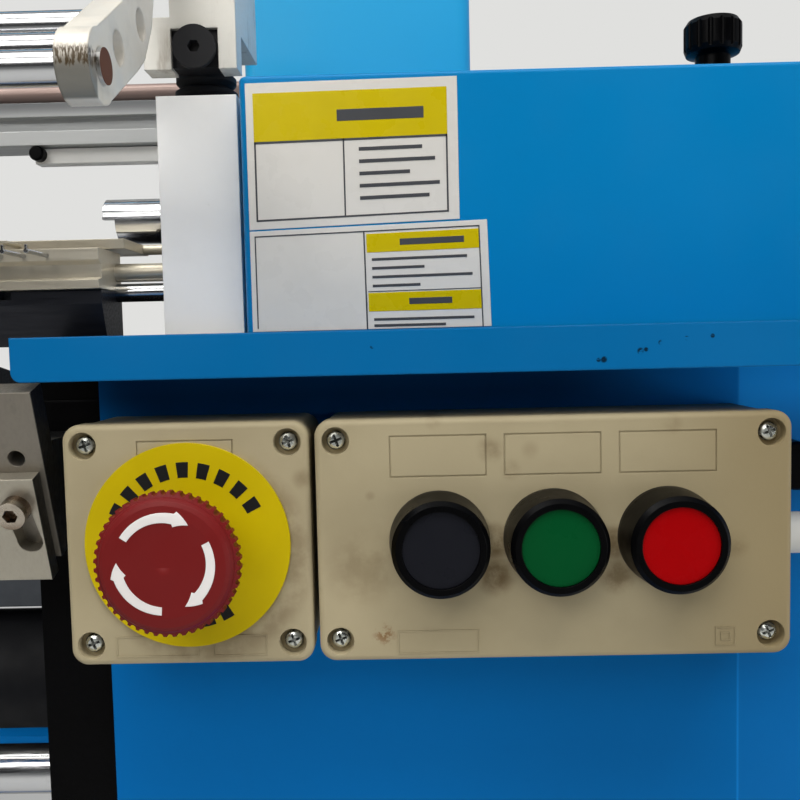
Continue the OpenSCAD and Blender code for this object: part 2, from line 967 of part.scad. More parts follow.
module comb_bracket() {
    difference() {
        union() {
            leaning()
                translate([-26, 0, -22])
                    cube([34, 8, 55]);
            translate([comb_x - 8, comb_y + 4, comb_z - 8])
                cube([16, front_y + sheet_t - comb_y - 4, 24]);
        }
        leaning()
            bar_y(0, -1, 12, 2.6, 9);
        leaning()
            bar_y(clamp_at[0], -1, clamp_at[1], clamp_r + seat_gap, 7 + seat_gap);
    }
}

module comb_brackets() {
    color([0.7, 0.7, 0.69])
        both_sides()
            comb_bracket();
}

module clamp_block() {
    run = slot_end - clamp_at;
    leaning()
        difference() {
            translate([-26, -clamp_t, -27.2])
                cube([32.1, clamp_t, 34.6]);
            translate([0, 1, 0])
                rotate([90, 0, 0])
                    linear_extrude(height = clamp_t + 2) {
                        translate(clamp_at)
                            circle(r = 3.9);
                        translate(slot_end)
                            circle(r = 3.9);
                        translate(clamp_at)
                            rotate(atan2(run[1], run[0]))
                                translate([0, -3.8])
                                    square([norm(run), 7.6]);
                    }
        }
}

module clamp_blocks() {
    color([0.75, 0.75, 0.74])
        both_sides()
            clamp_block();
}

module clamp_screw() {
    leaning()
        translate([clamp_at[0], -clamp_t, clamp_at[1]])
            rotate([-90, 0, 0])
                difference() {
                    union() {
                        cylinder(r = clamp_r, h = clamp_t + 6);
                        translate([0, 0, -5])
                            cylinder(r = 4.4, h = 5);
                    }
                    translate([0, 0, -6])
                        cylinder(r = 2.3, h = 4, $fn = 6);
                }
}

module clamp_screws() {
    color([0.6, 0.58, 0.55])
        both_sides()
            clamp_screw();
}

// Drive

module main_shaft() {
    x0 = left_x - frame_t - 12;
    color([0.75, 0.75, 0.75])
        union() {
            bar_x(x0, shaft_y, shaft_z, shaft_d / 2, cabinet_rx + right_w + 40 - x0);
            for (x = [left_x + 50, right_x - 80])
                bar_x(x, shaft_y, shaft_z + needle_travel, shaft_d / 2 + 24, 22);
        }
}

// Three flanged bearings, let into the end frames
module shaft_bearings() {
    color([0.3, 0.32, 0.35])
        for (x = [left_x - frame_t, right_x, cabinet_rx + right_w - sheet_t - frame_t])
            difference() {
                bar_x(x, shaft_y, shaft_z, shaft_d / 2 + 18 - seat_gap, frame_t);
                bar_x(x - 1, shaft_y, shaft_z, shaft_d / 2 + run_gap, frame_t + 2);
            }
}

// Flat pulley with two flanges; the belt runs between them
module pulley(y, z, r) {
    bar_x(pulley_x, y, z, r, belt_w + 2 * flange_t + 4);
    for (x = [pulley_x, pulley_x + belt_w + flange_t + 4])
        bar_x(x, y, z, r + belt_t, flange_t);
}

module driven_pulley() {
    color([0.4, 0.4, 0.42])
        difference() {
            pulley(shaft_y, shaft_z, pulley_d / 2);
            bar_x(pulley_x - 1, shaft_y, shaft_z, shaft_d / 2 + seat_gap, belt_w + 2 * flange_t + 6);
        }
}

module drive_belt() {
    dy = motor_y - shaft_y;
    dz = shaft_z - motor_z;
    span = sqrt(dy * dy + dz * dz);
    r1 = pulley_d / 2 + air_gap;
    r2 = motor_pulley_d / 2 + air_gap;
    color([0.05, 0.05, 0.05])
        translate([pulley_x + flange_t + 2, shaft_y, shaft_z])
            rotate([90, 0, 90])
                rotate(atan2(dy, dz))
                    linear_extrude(height = belt_w)
                        difference() {
                            belt_line(r1 + belt_t, r2 + belt_t, span);
                            belt_line(r1, r2, span);
                        }
}

module motor() {
    x0 = pulley_x - motor_gap - motor_l;
    fins = 24;
    color([0.25, 0.3, 0.35])
        difference() {
            union() {
                bar_x(x0, motor_y, motor_z, motor_d / 2 - 8, motor_l);
                for (i = [0 : fins - 1])
                    translate([x0 + 20, motor_y, motor_z])
                        rotate([i * 360 / fins, 0, 0])
                            translate([0, -1.5, 0])
                                cube([motor_l - 60, 3, motor_d / 2]);
                translate([x0 + 40, motor_y - 70, plinth_z])
                    cube([motor_l - 80, 140, 28]);
                translate([x0 + 50, motor_y - 35, plinth_z + 20])
                    cube([motor_l - 100, 70, motor_z - motor_d / 2 - plinth_z]);
                translate([x0 + 60, motor_y - 40, motor_z + motor_d / 2 - 20])
                    cube([80, 80, 50]);
            }
            bar_x(x0 + motor_l - 50, motor_y, motor_z, rotor_r + run_gap, 51);
        }
}

module motor_pulley() {
    x0 = pulley_x - motor_gap - 45;
    color([0.45, 0.45, 0.47])
        union() {
            bar_x(x0, motor_y, motor_z, rotor_r, pulley_x - x0 + 1);
            pulley(motor_y, motor_z, motor_pulley_d / 2);
        }
}

module handwheel() {
    x = cabinet_rx + right_w + 6;
    bore = shaft_d / 2 + run_gap;
    rim = wheel_d / 2;
    color([0.1, 0.1, 0.1])
        union() {
            translate([x, shaft_y, shaft_z])
                rotate([90, 0, 90])
                    rotate_extrude()
                        polygon([
                            [bore, 0], [24, 0], [28, 10], [rim - 18, 14], [rim - 14, 6],
                            [rim - 3, 4], [rim, 8], [rim, 20],
                            [rim - 3, 24], [rim - 15, 24], [rim - 18, 20],
                            [28, 16], [24, 30], [bore, 30]
                        ]);
            bar_x(x + 20, shaft_y, shaft_z + rim - 9, 4, 20);
            bar_x(x + 36, shaft_y, shaft_z + rim - 9, 9, 44);
        }
}

// Control stations

module enclosure_base(x, w) {
    depth = station_d - lid_t;
    difference() {
        translate([x, front_y, station_z])
            rotate([90, 0, 0])
                linear_extrude(height = depth)
                    round_rect(w - 1, station_h - 1, station_r);
        translate([x, front_y - station_wall, station_z])
            rotate([90, 0, 0])
                linear_extrude(height = depth)
                    difference() {
                        square([w - 1 - 2 * station_wall, station_h - 1 - 2 * station_wall], center = true);
                        for (sx = [-1, 1], sy = [-1, 1])
                            translate([sx * (w / 2 - screw_in), sy * lid_pitch / 2])
                                square(2 * well_r + 2, center = true);
                    }
        for (sx = [-1, 1], sz = [-1, 1])
            bar_y(x + sx * (w / 2 - screw_in), lid_back - 1, station_z + sz * lid_pitch / 2,
                  1.5 + seat_gap, 13);
    }
}

// Lid with wells for its four screws and thin label frames sunk into its face
module enclosure_lid(x, w, holes, hole_z) {
    difference() {
        face_plate(x, lid_back, station_z, w, station_h, lid_t, station_r, 1.8);
        for (sx = [-1, 1], sz = [-1, 1])
            translate([x + sx * (w / 2 - screw_in), 0, station_z + sz * lid_pitch / 2]) {
                bar_y(0, face_y - 1, 0, well_r, well_depth + 1);
                bar_y(0, face_y, 0, 1.6, lid_t + 1);
            }
        for (h = holes)
            bar_y(h, face_y - 1, hole_z, barrel_r + 0.1, lid_t + 2);
    }
}

module label_field(x) {
    translate([x - label_w / 2, face_y - 1, station_z + label_up - label_h / 2])
        difference() {
            cube([label_w, 1.3, label_h]);
            translate([label_line, -1, label_line])
                cube([label_w - 2 * label_line, 4, label_h - 2 * label_line]);
        }
}

module estop_box_base() {
    color([0.6, 0.55, 0.44])
        enclosure_base(stop_x, stop_w);
}

module estop_box_lid() {
    color([0.62, 0.57, 0.46])
        difference() {
            enclosure_lid(stop_x, stop_w, [stop_x], station_z);
            label_field(stop_x);
        }
}

function button_x(i) = station_x + (i - 1) * button_pitch - 0.1;

module station_box_base() {
    color([0.6, 0.55, 0.44])
        difference() {
            enclosure_base(station_x, station_w);
            bar_x(station_x + station_w / 2 - 10, gland_y, gland_z, gland_r + seat_gap, 20);
        }
}

module station_box_lid() {
    color([0.62, 0.57, 0.46])
        difference() {
            enclosure_lid(station_x, station_w, [for (i = [0 : 2]) button_x(i)], station_z);
            for (i = [0 : 2])
                label_field(button_x(i));
        }
}

module lid_screw(x, z) {
    y = face_y + well_depth;
    translate([x, y, z])
        rotate([90, 0, 0])
            difference() {
                rotate_extrude()
                    polygon([[0, 0], [2.8, 0], [2.8, 0.8], [2.4, 1.5], [1.6, 1.9], [0, 2]]);
                for (a = [20, 110])
                    rotate(a)
                        translate([-1.9, -0.4, 1])
                            cube([3.8, 0.8, 2]);
            }
    bar_y(x, y, z, 1.5, lid_t - well_depth + 8);
}

module lid_screws() {
    color([0.78, 0.78, 0.78])
        for (b = [[stop_x, stop_w], [station_x, station_w]], sx = [-1, 1], sz = [-1, 1])
            lid_screw(b[0] + sx * (b[1] / 2 - screw_in), station_z + sz * lid_pitch / 2);
}

module legend_disc() {
    color([0.9, 0.82, 0.1])
        difference() {
            bar_y(stop_x, face_y - legend_t, station_z, legend_d / 2, legend_t);
            bar_y(stop_x, face_y - legend_t - 1, station_z, barrel_r + 0.1, legend_t + 2);
        }
}

// Collar and threaded barrel of the emergency stop, with its nut behind the lid
module estop_collar() {
    front = face_y - legend_t - collar_h;
    color([0.3, 0.05, 0.06])
        difference() {
            union() {
                bar_y(stop_x, front, station_z, 14, collar_h);
                bar_y(stop_x, front, station_z, barrel_r, face_y + barrel_end - front);
                bar_y(stop_x, lid_back, station_z, 15, 4);
            }
            bar_y(stop_x, front - 1, station_z, plunger_r + run_gap, face_y + barrel_end - front + 2);
        }
}

module estop_plunger() {
    front = face_y - mushroom_h + 5;
    color([0.3, 0.3, 0.32])
        bar_y(stop_x, front, station_z, plunger_r, face_y + barrel_end - stop_travel - 1 - front);
}

// Mushroom head: a smooth crown, a toothed rim and a hub on the plunger
module estop_head() {
    r = mushroom_d / 2;
    teeth = 48;
    color([0.6, 0.08, 0.1])
        translate([stop_x, face_y, station_z])
            rotate([90, 0, 0])
                difference() {
                    rotate_extrude()
                        polygon([
                            [0, mushroom_h - 5 + air_gap], [plunger_r + run_gap, mushroom_h - 5 + air_gap],
                            [plunger_r + run_gap, mushroom_h - 10.5], [12, mushroom_h - 10.5],
                            [14, mushroom_h - 7], [r - 1, mushroom_h - 4], [r, mushroom_h - 3],
                            [r, mushroom_h], [r - 1.4, mushroom_h + 0.6], [r - 1.6, mushroom_h + 1.3],
                            [r - 2.3, mushroom_h + 2.3], [r - 3.4, mushroom_h + 2.9],
                            [r - 6, mushroom_h + 3.3], [0, mushroom_h + 3.5]
                        ]);
                    for (i = [0 : teeth - 1])
                        rotate([0, 0, i * 360 / teeth])
                            translate([r - 0.1, 0, mushroom_h - 5])
                                cylinder(r = 0.85, h = 6);
                }
}

// Bezel with its barrel and the nut behind the lid
module button_bezels() {
    color([0.05, 0.05, 0.05])
        for (i = [0 : 2])
            translate([button_x(i), face_y, station_z])
                rotate([90, 0, 0])
                    difference() {
                        rotate_extrude()
                            polygon([
                                [0, -barrel_end], [barrel_r, -barrel_end], [barrel_r, -lid_t - 4],
                                [14, -lid_t - 4], [14, -lid_t], [barrel_r, -lid_t], [barrel_r, 0],
                                [bezel_d / 2 + 0.8, 0], [bezel_d / 2 + 0.8, 2],
                                [bezel_d / 2, bezel_h - 1.5], [bezel_d / 2 - 1.2, bezel_h],
                                [0, bezel_h]
                            ]);
                        translate([0, 0, 2.5])
                            cylinder(r = cap_d / 2 + run_gap, h = bezel_h);
                        translate([0, 0, -barrel_end - 1])
                            cylinder(r = 4 + run_gap, h = bezel_h + barrel_end);
                    }
}

module button_cap(i) {
    translate([button_x(i), face_y, station_z])
        rotate([90, 0, 0])
            union() {
                translate([0, 0, 2.5 + cap_travel + air_gap])
                    cylinder(r = cap_d / 2, h = bezel_h - 3.3 - cap_travel - air_gap);
                translate([0, 0, -barrel_end + cap_travel + air_gap])
                    cylinder(r = 4, h = barrel_end + 4);
            }
}

module black_button() {
    color([0.12, 0.12, 0.15])
        button_cap(0);
}

module green_button() {
    color([0, 0.42, 0.2])
        button_cap(1);
}

module red_button() {
    color([0.8, 0.03, 0.04])
        button_cap(2);
}

// Contact blocks, clipped to the ends of the barrels
module contact_blocks() {
    y = face_y + barrel_end;
    color([0.2, 0.22, 0.25])
        for (x = [stop_x, button_x(0), button_x(1), button_x(2)])
            translate([x - 11, y, station_z - 16])
                cube([22, 12, 32]);
}

module cable_gland() {
    x = station_x + station_w / 2 - 0.5;
    color([0.8, 0.8, 0.78])
        difference() {
            union() {
                bar_x(x - 8, gland_y, gland_z, gland_r, 9);
                bar_x(x, gland_y, gland_z, gland_r + 2, 6);
                bar_x(x + 6, gland_y, gland_z, gland_r + 0.5, 8);
            }
            bar_x(x - 9, gland_y, gland_z, gland_r / 2, 30);
        }
}

// Yarn feed

module column() {
    w = column_w;
    difference() {
        translate([column_x + w / 2, feed_y, head_top])
            linear_extrude(height = column_h)
                round_rect(w, column_d, 6);
        for (z = [feed_z, feed_z + feed_step])
            bar_x(column_x - 1, feed_y, z, feed_journal + run_gap, 31);
    }
}

module columns() {
    color([0.05, 0.55, 0.82])
        both_sides()
            column();
}

// Top beam with a hanging flange, drilled with one eyelet for each yarn
module top_beam() {
    z = head_top + column_h - beam_h - 10;
    y = column_y + 15;
    half = column_x - mid_x;
    eyelets = floor((half - 40) / eyelet_pitch);
    color([0.05, 0.5, 0.78])
        difference() {
            union() {
                translate([mid_x - half, y, z])
                    cube([2 * half, column_d - 30, beam_h]);
                translate([mid_x - half, y, z - 18])
                    cube([2 * half, 3, 18]);
            }
            for (k = [-eyelets : eyelets])
                bar_y(mid_x + k * eyelet_pitch, y - 1, z - 10, 3, 5);
        }
}

module feed_roller(z, phase) {
    half = column_x - mid_x;
    gear_x = column_x - 18;
    color([0.1, 0.1, 0.1]) {
        bar_x(mid_x - half + 6, feed_y, z, feed_d / 2, 2 * half - 30);
        bar_x(mid_x - half - 28, feed_y, z, feed_journal, 2 * half + 56);
        translate([gear_x, feed_y, z])
            rotate([90, 0, 90])
                linear_extrude(height = gear_w)
                    rotate(phase)
                        gear_outline(gear_teeth, feed_step / 2);
    }
}

module feed_roller_lower() {
    feed_roller(feed_z, 0);
}

module feed_roller_upper() {
    feed_roller(feed_z + feed_step, 180 / gear_teeth);
}

bases();
end_frames();
deck_plates();
front_covers();
body_covers();
tie_beam();
bed_beam();
shelf_tray();
guide_blocks();
head_housings();
filler_neck();
filler_cap();
rod_boots();
lift_rods();
lift_brackets();
lift_rollers();
bar_arms();
guide_rods();
weft_bar_front();
weft_bar_middle();
weft_bar_rear();
needle_bar();
needles();
warp_bar();
knockover_bar();
bar_shafts();
rear_guide_beam();
yarn_guard_bar();
front_tie_plate();
takedown_roller();
pressure_roller();
comb_brackets();
clamp_blocks();
clamp_screws();
main_shaft();
shaft_bearings();
driven_pulley();
drive_belt();
motor();
motor_pulley();
handwheel();
estop_box_base();
estop_box_lid();
station_box_base();
station_box_lid();
lid_screws();
legend_disc();
estop_collar();
estop_plunger();
estop_head();
button_bezels();
black_button();
green_button();
red_button();
contact_blocks();
cable_gland();
columns();
top_beam();
feed_roller_lower();
feed_roller_upper();
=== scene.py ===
import math

import bpy
from mathutils import Matrix, Vector


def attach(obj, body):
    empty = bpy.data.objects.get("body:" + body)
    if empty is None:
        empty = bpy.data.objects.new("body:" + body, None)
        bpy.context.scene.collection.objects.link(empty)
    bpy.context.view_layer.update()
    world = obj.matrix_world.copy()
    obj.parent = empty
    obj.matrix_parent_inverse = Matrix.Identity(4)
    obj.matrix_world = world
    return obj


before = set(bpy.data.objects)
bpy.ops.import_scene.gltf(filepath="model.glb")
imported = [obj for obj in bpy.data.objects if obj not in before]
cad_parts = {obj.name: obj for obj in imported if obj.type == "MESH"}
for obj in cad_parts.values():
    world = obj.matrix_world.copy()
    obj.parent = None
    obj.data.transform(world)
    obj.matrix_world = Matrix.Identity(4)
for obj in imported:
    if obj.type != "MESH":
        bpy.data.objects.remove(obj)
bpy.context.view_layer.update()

# Places and sizes are in mm in the machine's frame, unless a comment says metres
MM = 0.001
X, Y, Z = 0, 1, 2
STOP = (417.9, 900.0)  # axis of the emergency stop, in X and Z
FACE_Y = -300.0        # front of both lids
HEAD_Y = -250.0        # front of the head housing, under the stickers
COVER_FOLD = 593.4     # fold of the right front cover, along X


def srgb(r, g, b):
    """Eight-bit screen colour to a linear one."""
    def one(c):
        c = c / 255
        return c / 12.92 if c <= 0.04045 else ((c + 0.055) / 1.055) ** 2.4
    return (one(r), one(g), one(b), 1.0)


def darker(c, k):
    return (c[0] * k, c[1] * k, c[2] * k, 1.0)


# Camera: the photo's viewing place and angle

CAMERA_PLACE = (485.3, -557.1, 959.2)
CAMERA_TURN = (0.809, 3.894, -1.308)  # yaw, pitch and roll in degrees
LENS, SENSOR = 39.68, 36


def make_camera():
    yaw, pitch, roll = map(math.radians, CAMERA_TURN)
    turn = Matrix(((math.cos(yaw), -math.sin(yaw), 0),
                   (math.sin(yaw), math.cos(yaw), 0),
                   (0, 0, 1)))
    tip = Matrix(((1, 0, 0),
                  (0, math.cos(pitch), math.sin(pitch)),
                  (0, -math.sin(pitch), math.cos(pitch))))
    level = turn @ tip
    right, ahead, up = (level @ Vector(axis) for axis in ((1, 0, 0), (0, 1, 0), (0, 0, 1)))
    right, up = (math.cos(roll) * right + math.sin(roll) * up,
                 math.cos(roll) * up - math.sin(roll) * right)
    data = bpy.data.cameras.new("photo_camera")
    data.lens = LENS
    data.sensor_width = SENSOR
    data.clip_start = 0.01
    data.clip_end = 50
    cam = bpy.data.objects.new("photo_camera", data)
    bpy.context.collection.objects.link(cam)
    place = Matrix([[right[i], up[i], -ahead[i]] for i in (X, Y, Z)]).to_4x4()
    place.translation = Vector(CAMERA_PLACE) * MM
    cam.matrix_world = place
    bpy.context.scene.camera = cam


make_camera()


# Materials

# Sockets of the Mix node for colours
FACTOR, UNDER, OVER, MIXED = 0, 6, 7, 2


def map_range(tree, source, lo, hi, low_value, high_value, smooth):
    n = tree.nodes.new("ShaderNodeMapRange")
    n.interpolation_type = "SMOOTHSTEP" if smooth else "LINEAR"
    for key, v in (("From Min", lo), ("From Max", hi),
                   ("To Min", low_value), ("To Max", high_value)):
        n.inputs[key].default_value = v
    tree.links.new(source, n.inputs["Value"])
    return n.outputs["Result"]


class Finish:
    """A procedural material on the Principled shader, built up step by step.

    A mask is a node output between nought and one."""

    def __init__(self, name, colour, rough, metal=0.0, coat=0.0, gloss=0.22):
        self.mat = bpy.data.materials.new(name)
        self.mat.use_nodes = True
        self.tree = self.mat.node_tree
        self.shader = self.tree.nodes["Principled BSDF"]
        self.colour = colour
        self.colour_out = self.normal = None
        self.set("Base Color", colour)
        self.set("Roughness", rough)
        self.set("Metallic", metal)
        self.set("Specular IOR Level", 0.5 if metal else gloss)
        if coat:
            self.set("Coat Weight", coat)
            self.set("Coat Roughness", 0.12)
        self.place = self.node("ShaderNodeTexCoord").outputs["Object"]
        self.mat.diffuse_color = colour

    def set(self, socket, value):
        self.shader.inputs[socket].default_value = value

    def node(self, kind, **facts):
        n = self.tree.nodes.new(kind)
        for k, v in facts.items():
            setattr(n, k, v)
        return n

    def link(self, a, b):
        self.tree.links.new(a, b)

    def stretched(self, scale):
        n = self.node("ShaderNodeMapping")
        n.inputs["Scale"].default_value = scale
        self.link(self.place, n.inputs["Vector"])
        return n.outputs["Vector"]

    def noise(self, size, detail=4.0, roughness=0.55, stretch=None):
        """Noise whose features are about size mm across."""
        n = self.node("ShaderNodeTexNoise")
        n.inputs["Scale"].default_value = 1000.0 / size
        n.inputs["Detail"].default_value = detail
        n.inputs["Roughness"].default_value = roughness
        self.link(self.stretched(stretch) if stretch else self.place, n.inputs["Vector"])
        return n.outputs["Fac"]

    def ramp(self, source, lo, hi, low_value=0.0, high_value=1.0):
        return map_range(self.tree, source, lo, hi, low_value, high_value, smooth=True)

    def calc(self, how, a, b):
        n = self.node("ShaderNodeMath", operation=how)
        for i, v in enumerate((a, b)):
            if isinstance(v, (int, float)):
                n.inputs[i].default_value = v
            else:
                self.link(v, n.inputs[i])
        return n.outputs[0]

    def product(self, mask, *others):
        for other in others:
            mask = self.calc("MULTIPLY", mask, other)
        return mask

    def axis(self, i):
        n = self.node("ShaderNodeSeparateXYZ")
        self.link(self.place, n.inputs[0])
        return n.outputs[i]

    def along(self, i, lo, hi, low_value=0.0, high_value=1.0):
        """A mask that changes between two places on one axis."""
        return self.ramp(self.axis(i), lo * MM, hi * MM, low_value, high_value)

    def outer_sides(self, right, left):
        """One past a place on the right of the machine and past one on its left."""
        soft = 0.2
        return self.calc("MAXIMUM", self.along(X, right, right + soft),
                         self.along(X, left, left - soft))

    def spot(self, x, z, inner, outer):
        """One near the point (x, z), falling to nought between two radii."""
        flat = self.node("ShaderNodeVectorMath", operation="MULTIPLY")
        self.link(self.place, flat.inputs[0])
        flat.inputs[1].default_value = (1, 0, 1)
        far = self.node("ShaderNodeVectorMath", operation="DISTANCE")
        self.link(flat.outputs[0], far.inputs[0])
        far.inputs[1].default_value = (x * MM, 0, z * MM)
        return self.ramp(far.outputs["Value"], inner * MM, outer * MM, 1.0, 0.0)

    def tint(self, mask, colour):
        """Lays a colour over what is there, by a mask."""
        n = self.node("ShaderNodeMix", data_type="RGBA")
        self.link(mask, n.inputs[FACTOR])
        if self.colour_out is None:
            n.inputs[UNDER].default_value = self.colour
        else:
            self.link(self.colour_out, n.inputs[UNDER])
        n.inputs[OVER].default_value = colour
        self.colour_out = n.outputs[MIXED]
        self.link(self.colour_out, self.shader.inputs["Base Color"])

    def fade(self, socket, mask, low, high):
        """Takes a shader value from low to high as the mask goes from nought to one."""
        self.link(self.ramp(mask, 0.0, 1.0, low, high), self.shader.inputs[socket])

    def vary_rough(self, mask, low, high):
        self.link(self.ramp(mask, 0.35, 0.65, low, high), self.shader.inputs["Roughness"])

    def bend_normal(self, node):
        self.normal = node.outputs["Normal"]
        self.link(self.normal, self.shader.inputs["Normal"])

    def soft_edges(self, radius):
        n = self.node("ShaderNodeBevel", samples=4)
        n.inputs["Radius"].default_value = radius * MM
        self.bend_normal(n)

    def bumpy(self, height, strength, depth):
        n = self.node("ShaderNodeBump")
        n.inputs["Strength"].default_value = strength
        n.inputs["Distance"].default_value = depth * MM
        self.link(height, n.inputs["Height"])
        if self.normal is not None:
            self.link(self.normal, n.inputs["Normal"])
        self.bend_normal(n)


# How noise is stretched into machining lines: small along the lines, large across them
LINES_ALONG_X = (0.2, 3, 3)
LONG_LINES_ALONG_X = (0.1, 3, 3)
FINE_LINES_ALONG_X = (0.2, 4, 4)
LINES_UPRIGHT = (3, 3, 1)
LINES_LEVEL = (1, 1, 8)


def paint_skin(f, rough):
    """Patches of shine and orange peel."""
    f.vary_rough(f.noise(60, 4), rough - 0.06, rough + 0.08)
    f.bumpy(f.noise(2.2, 2), 0.06, 0.2)


def enamel(name, colour, rough=0.34):
    """Semi-gloss machine paint with faint mottling and handling marks."""
    f = Finish(name, colour, rough, coat=0.026, gloss=0.13)
    f.soft_edges(0.8)
    f.tint(f.ramp(f.noise(180, 3), 0.35, 0.7), darker(colour, 0.93))
    f.tint(f.ramp(f.noise(9, 5, 0.7), 0.62, 0.8, 0.0, 0.1), darker(colour, 0.6))
    paint_skin(f, rough)
    return f


def panel_paint():
    """The cabinets' paint: painted shade low down and more to the right, painted shadow under the
    shelf left of the fold of the right front cover, painted light right of it, a painted
    highlight along the fold."""
    colour, rough = srgb(2, 124, 208), 0.4
    f = Finish("panel_paint", colour, rough, coat=0.01, gloss=0.05)
    f.soft_edges(0.8)
    # Painted shade: darker low down, and darker still low down towards the right
    low = f.along(Z, 945, 905)
    f.tint(low, srgb(2, 110, 186))
    f.tint(f.product(low, f.along(X, 460, 560)), srgb(2, 102, 173))
    front = f.product(f.along(Y, -228, -232), f.along(X, 200, 300))
    # The strip under the shelf on the front: painted light right of the fold, painted shadow left
    # of it
    shelf_strip_light_and_shade = f.product(f.along(Z, 925, 943), front)
    f.tint(f.product(shelf_strip_light_and_shade, f.along(X, COVER_FOLD, COVER_FOLD + 0.4)), srgb(10, 148, 236))
    f.tint(f.product(shelf_strip_light_and_shade, f.along(X, COVER_FOLD, 530), 0.85), srgb(2, 44, 84))
    f.tint(f.ramp(f.noise(180, 3), 0.35, 0.7, 0.0, 0.3), darker(colour, 0.7))
    f.tint(f.ramp(f.noise(9, 5, 0.7), 0.62, 0.8, 0.0, 0.1), darker(colour, 0.5))
    # Painted highlight: a thin paler line along the fold
    fold_highlight = f.product(f.along(X, COVER_FOLD - 0.6, COVER_FOLD),
                     f.along(X, COVER_FOLD + 0.8, COVER_FOLD))
    f.tint(f.product(fold_highlight, front, 0.5), srgb(24, 140, 224))
    paint_skin(f, rough)
    return f


# Nicks on the shelf lip: place in X and Z, and radius
LIP_NICKS = (
    (474, 957.4, 0.7), (540.5, 952.3, 1.2), (539, 952.2, 0.8), (551, 954.5, 1.2),
    (552.6, 954.9, 0.8), (556.8, 956.8, 0.9), (564.2, 957.9, 0.8), (571.6, 958.4, 0.8),
)


def lip_paint():
    """The blue paint of the shelf with small dark nicks along the lip."""
    f = enamel("shelf_paint", srgb(4, 103, 163))
    ragged = f.ramp(f.noise(1.2, 4, 0.7, (0.4, 1, 1)), 0.42, 0.52)
    for x, z, r in LIP_NICKS:
        f.tint(f.product(f.spot(x, z, r * 0.5, r), ragged), srgb(6, 34, 56))
    return f


def casting(name, colour, rough):
    """Painted cast iron with a sandy skin."""
    f = Finish(name, colour, rough, gloss=0.05)
    f.soft_edges(1.2)
    f.tint(f.ramp(f.noise(40, 5), 0.4, 0.7), darker(colour, 0.75))
    f.vary_rough(f.noise(25, 4), rough - 0.1, rough + 0.1)
    f.bumpy(f.noise(1.6, 4), 0.35, 0.35)
    return f


def ground_metal(name, colour, rough, metal, lines, grain=3.0, edge=0.5):
    """Bare metal with fine machining lines and a little oily staining."""
    f = Finish(name, colour, rough, metal)
    f.soft_edges(edge)
    f.tint(f.ramp(f.noise(35, 5), 0.45, 0.75, 0.0, 0.5), darker(colour, 0.8))
    f.tint(f.ramp(f.noise(6, 6, 0.7), 0.58, 0.8, 0.0, 0.35), darker(colour, 0.55))
    f.vary_rough(f.noise(grain, 4, 0.6, lines), rough - 0.08, rough + 0.1)
    f.bumpy(f.noise(grain * 0.5, 2, 0.5, lines), 0.08, 0.08)
    return f


def chrome(name):
    return ground_metal(name, srgb(205, 206, 208), 0.16, 1.0, FINE_LINES_ALONG_X,
                        grain=4.0, edge=0.3)


def rod_chrome():
    """Polished rods whose cut ends are brown with old grease."""
    f = chrome("rod_chrome")
    ends = f.outer_sides(402.4, -487.4)
    f.tint(ends, srgb(92, 54, 36))
    f.fade("Metallic", ends, 1.0, 0.0)
    f.fade("Roughness", ends, 0.17, 0.9)
    return f


def beam_metal():
    """The rear guide beam, pale low down with painted light where the flange above shades the
    web, with a browner rod above it.
    """
    f = ground_metal("beam_grey", srgb(104, 106, 108), 0.42, 0.3, LONG_LINES_ALONG_X)
    # Painted light: the web, which the flange above shades, made paler
    f.tint(f.along(Z, 1064.0, 1057.0), srgb(176, 178, 178))
    f.tint(f.along(Z, 1066.4, 1066.8), srgb(150, 128, 120))
    return f


def bracket_metal():
    """Milled aluminium with brownish oil that has run down it."""
    f = ground_metal("bracket_aluminium", srgb(220, 217, 208), 0.42, 0.25, LINES_LEVEL)
    runs = f.ramp(f.noise(9, 5, 0.65, (1, 1, 0.22)), 0.5, 0.68)
    f.tint(f.product(runs, f.ramp(f.noise(30, 3), 0.4, 0.6), 0.55), srgb(128, 108, 84))
    return f


def comb_metal():
    """Ground steel brackets, black on their stems, with painted shade making their outer sides
    black.
    """
    f = ground_metal("comb_steel", srgb(130, 124, 114), 0.42, 0.7, LINES_UPRIGHT, grain=2.5)
    stem = f.product(f.along(Y, -282.2, -281.2), f.along(Z, 904, 905))
    # Black on the stems, and painted shade on the outer side faces, which stand in shadow
    painted = f.calc("MAXIMUM", stem, f.outer_sides(374.2, -459.2))
    f.tint(painted, srgb(8, 8, 9))
    f.fade("Metallic", painted, 0.7, 0.0)
    return f


def clamp_metal():
    """Ground clamp blocks whose outer sides are made dark with painted shade."""
    f = ground_metal("clamp_steel", srgb(172, 166, 152), 0.38, 0.8, LINES_UPRIGHT, grain=2.5)
    # Painted shade: the outer side faces, which stand in shadow, made dark
    dark = f.outer_sides(372.3, -457.3)
    f.tint(dark, srgb(22, 21, 17))
    f.fade("Metallic", dark, 0.8, 0.1)
    return f


def arm_metal():
    """Pale cast aluminium arms: a ragged band of brown grease across the nose, bare and grey
    below it."""
    base = srgb(222, 216, 204)
    f = Finish("arm_aluminium", base, 0.42, 0.12)
    f.soft_edges(1.0)
    f.tint(f.ramp(f.noise(14, 5, 0.65), 0.45, 0.75, 0.0, 0.5), darker(base, 0.75))
    streaks = f.noise(0.7, 4, 0.65, (1, 1, 0.16))
    ragged = f.product(f.calc("SUBTRACT", streaks, 0.5), 6 * MM)
    height = f.calc("ADD", f.axis(Z), ragged)

    def level(lo, hi):
        return f.ramp(height, lo * MM, hi * MM)
    nose = f.along(Y, -311.5, -313)
    f.tint(f.product(level(1037.5, 1033.5), nose), srgb(124, 122, 114))
    band = f.product(level(1033.8, 1035.2), level(1040.0, 1038.8), nose)
    f.tint(f.product(band, f.ramp(streaks, 0.4, 0.56, 0.3, 1.0)), srgb(72, 56, 30))
    f.vary_rough(f.noise(10, 4), 0.34, 0.52)
    f.bumpy(f.noise(2.0, 4), 0.25, 0.25)
    return f


